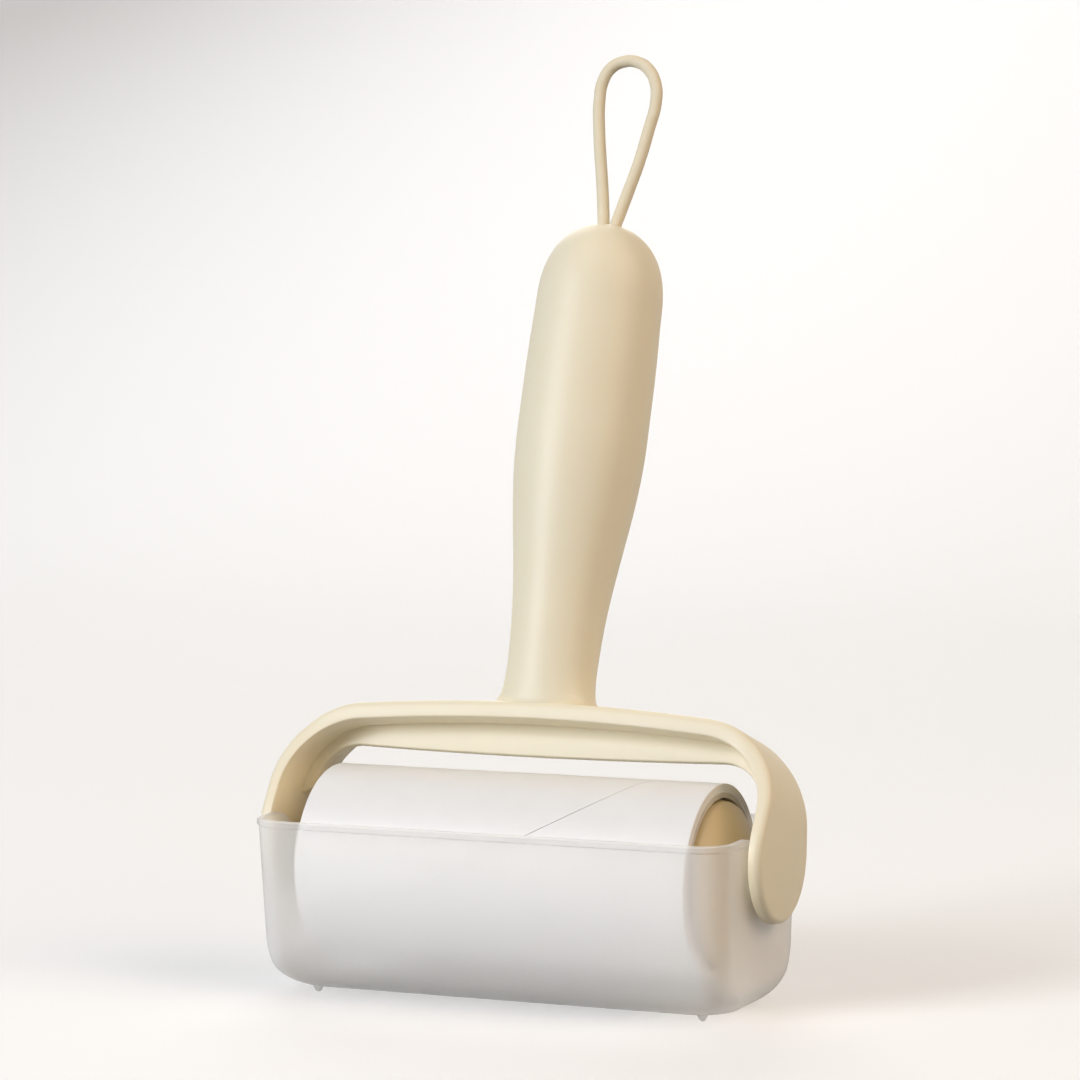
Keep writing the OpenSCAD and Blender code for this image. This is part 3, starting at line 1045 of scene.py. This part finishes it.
def makeCover():
    piece = makeShell()
    for side in (-1, 1):
        subtract(piece, makeSlotCutter(side))
    for x in (-cover["footX"], cover["footX"]):
        for y in (-cover["footY"], cover["footY"]):
            foot = makeFoot(x, y)
            applyModifier(piece, "BOOLEAN", operation="UNION", solver="EXACT", object=foot)
            bpy.data.objects.remove(foot)
    bevelEdges(piece, cover["edge"], 2, 50)
    smooth(piece, 30)
    finishPiece(piece, frosted, "cover", ["dust_cover"])
    print("cover made")


makeCover()

# the knot comes with the frame and only takes the cord's look
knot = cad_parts["cord_knot"]
knot.data.materials.clear()
knot.data.materials.append(cordBraid)


# pale floor that sweeps up behind, and soft studio lamps, in metres

studio = {
    "floor": "#eeeeee",
    "floorPale": "#f1f1f1",
    "floorPatch": 900,
    "bounce": "#787775",
    "glow": 0.22,
    "halfWidth": 6,
    "front": -5,
    "back": 1.6,
    "height": 4,
    "sweep": 0.8,
    "aim": (0, 0, 0.1),
    "air": "#f5efe4",
    "airStrength": 0.24,
}
# name, place, size, watts, tint
lamps = [
    ("softKey", (-0.9, -1.3, 0.75), 0.8, 21.5, "#f3f7ff"),
    ("softTop", (-0.1, 0.1, 1.6), 1.1, 1.2, "#fffdf8"),
    ("softFill", (1.35, -0.1, 1.05), 1.2, 14.5, "#ffe9d2"),
    ("softBack", (-0.6, 1.2, 0.9), 0.9, 6, "#ffffff"),
]


def makeSweep():
    deselectAll()
    bpy.ops.mesh.primitive_plane_add(size=2)
    floor = startPiece("studioFloor")
    depth = (studio["back"] - studio["front"]) / 2
    wallFrom = studio["back"] - 0.01
    edit(floor)
    bpy.ops.mesh.select_all(action="SELECT")
    bpy.ops.transform.resize(value=(studio["halfWidth"], depth, 1))
    bpy.ops.transform.translate(value=(0, (studio["back"] + studio["front"]) / 2, 0))
    selectVerts(floor, lambda co: co.y > wallFrom)
    bpy.ops.mesh.extrude_edges_move(TRANSFORM_OT_translate={"value": (0, 0, studio["height"])})
    selectEdges(floor, lambda a, b: min(a.co.y, b.co.y) > wallFrom and max(a.co.z, b.co.z) < 0.01)
    bpy.ops.mesh.bevel(offset=studio["sweep"], segments=24)
    bpy.ops.object.mode_set(mode="OBJECT")
    smooth(floor, 60)
    return floor


def paintedFloor():
    # the floor shows pale to the camera and throws back less light than it shows
    material, tree, shader = newMaterial("paintedFloor")
    coords = addNode(tree, "ShaderNodeTexCoord").outputs["Object"]
    rays = addNode(tree, "ShaderNodeLightPath")
    seen = addNode(tree, "ShaderNodeMix", data_type="RGBA")
    seen.inputs["A"].default_value = linear(studio["bounce"])
    shades = patches(tree, coords, studio["floorPatch"], studio["floor"], studio["floorPale"])
    tree.links.new(shades, seen.inputs["B"])
    looks = addNode(tree, "ShaderNodeMath",
                    {0: rays.outputs["Is Camera Ray"], 1: rays.outputs["Is Glossy Ray"]},
                    operation="MAXIMUM")
    looks = addNode(tree, "ShaderNodeMath",
                    {0: looks.outputs["Value"], 1: rays.outputs["Is Transmission Ray"]},
                    operation="MAXIMUM")
    tree.links.new(looks.outputs["Value"], seen.inputs["Factor"])
    tree.links.new(seen.outputs["Result"], shader.inputs["Base Color"])
    # a little glow that only shows where the floor is seen keeps the backdrop pale
    glow = addNode(tree, "ShaderNodeMath", {0: looks.outputs["Value"]}, operation="MULTIPLY")
    glow.inputs[1].default_value = studio["glow"]
    shader.inputs["Emission Color"].default_value = linear(studio["floor"])
    tree.links.new(glow.outputs["Value"], shader.inputs["Emission Strength"])
    shader.inputs["Roughness"].default_value = 0.8
    return material


def makeFloor():
    floor = makeSweep()
    floor.data.materials.append(paintedFloor())


def makeLamp(name, spot, size, power, tint):
    light = bpy.data.lights.new(name, "AREA")
    light.shape = "SQUARE"
    light.size = size
    light.energy = power
    light.color = linear(tint)[:3]
    lamp = bpy.data.objects.new(name, light)
    bpy.context.scene.collection.objects.link(lamp)
    lamp.location = spot
    ray = Vector(studio["aim"]) - Vector(spot)
    lamp.rotation_euler = ray.to_track_quat("-Z", "Y").to_euler()


def makeLight():
    for row in lamps:
        makeLamp(*row)
    world = bpy.data.worlds.new("studioAir")
    world.use_nodes = True
    back = world.node_tree.nodes["Background"]
    back.inputs["Color"].default_value = linear(studio["air"])
    back.inputs["Strength"].default_value = studio["airStrength"]
    bpy.context.scene.world = world
    bpy.context.scene.view_settings.view_transform = "Standard"


makeFloor()
makeLight()
print("studio set")
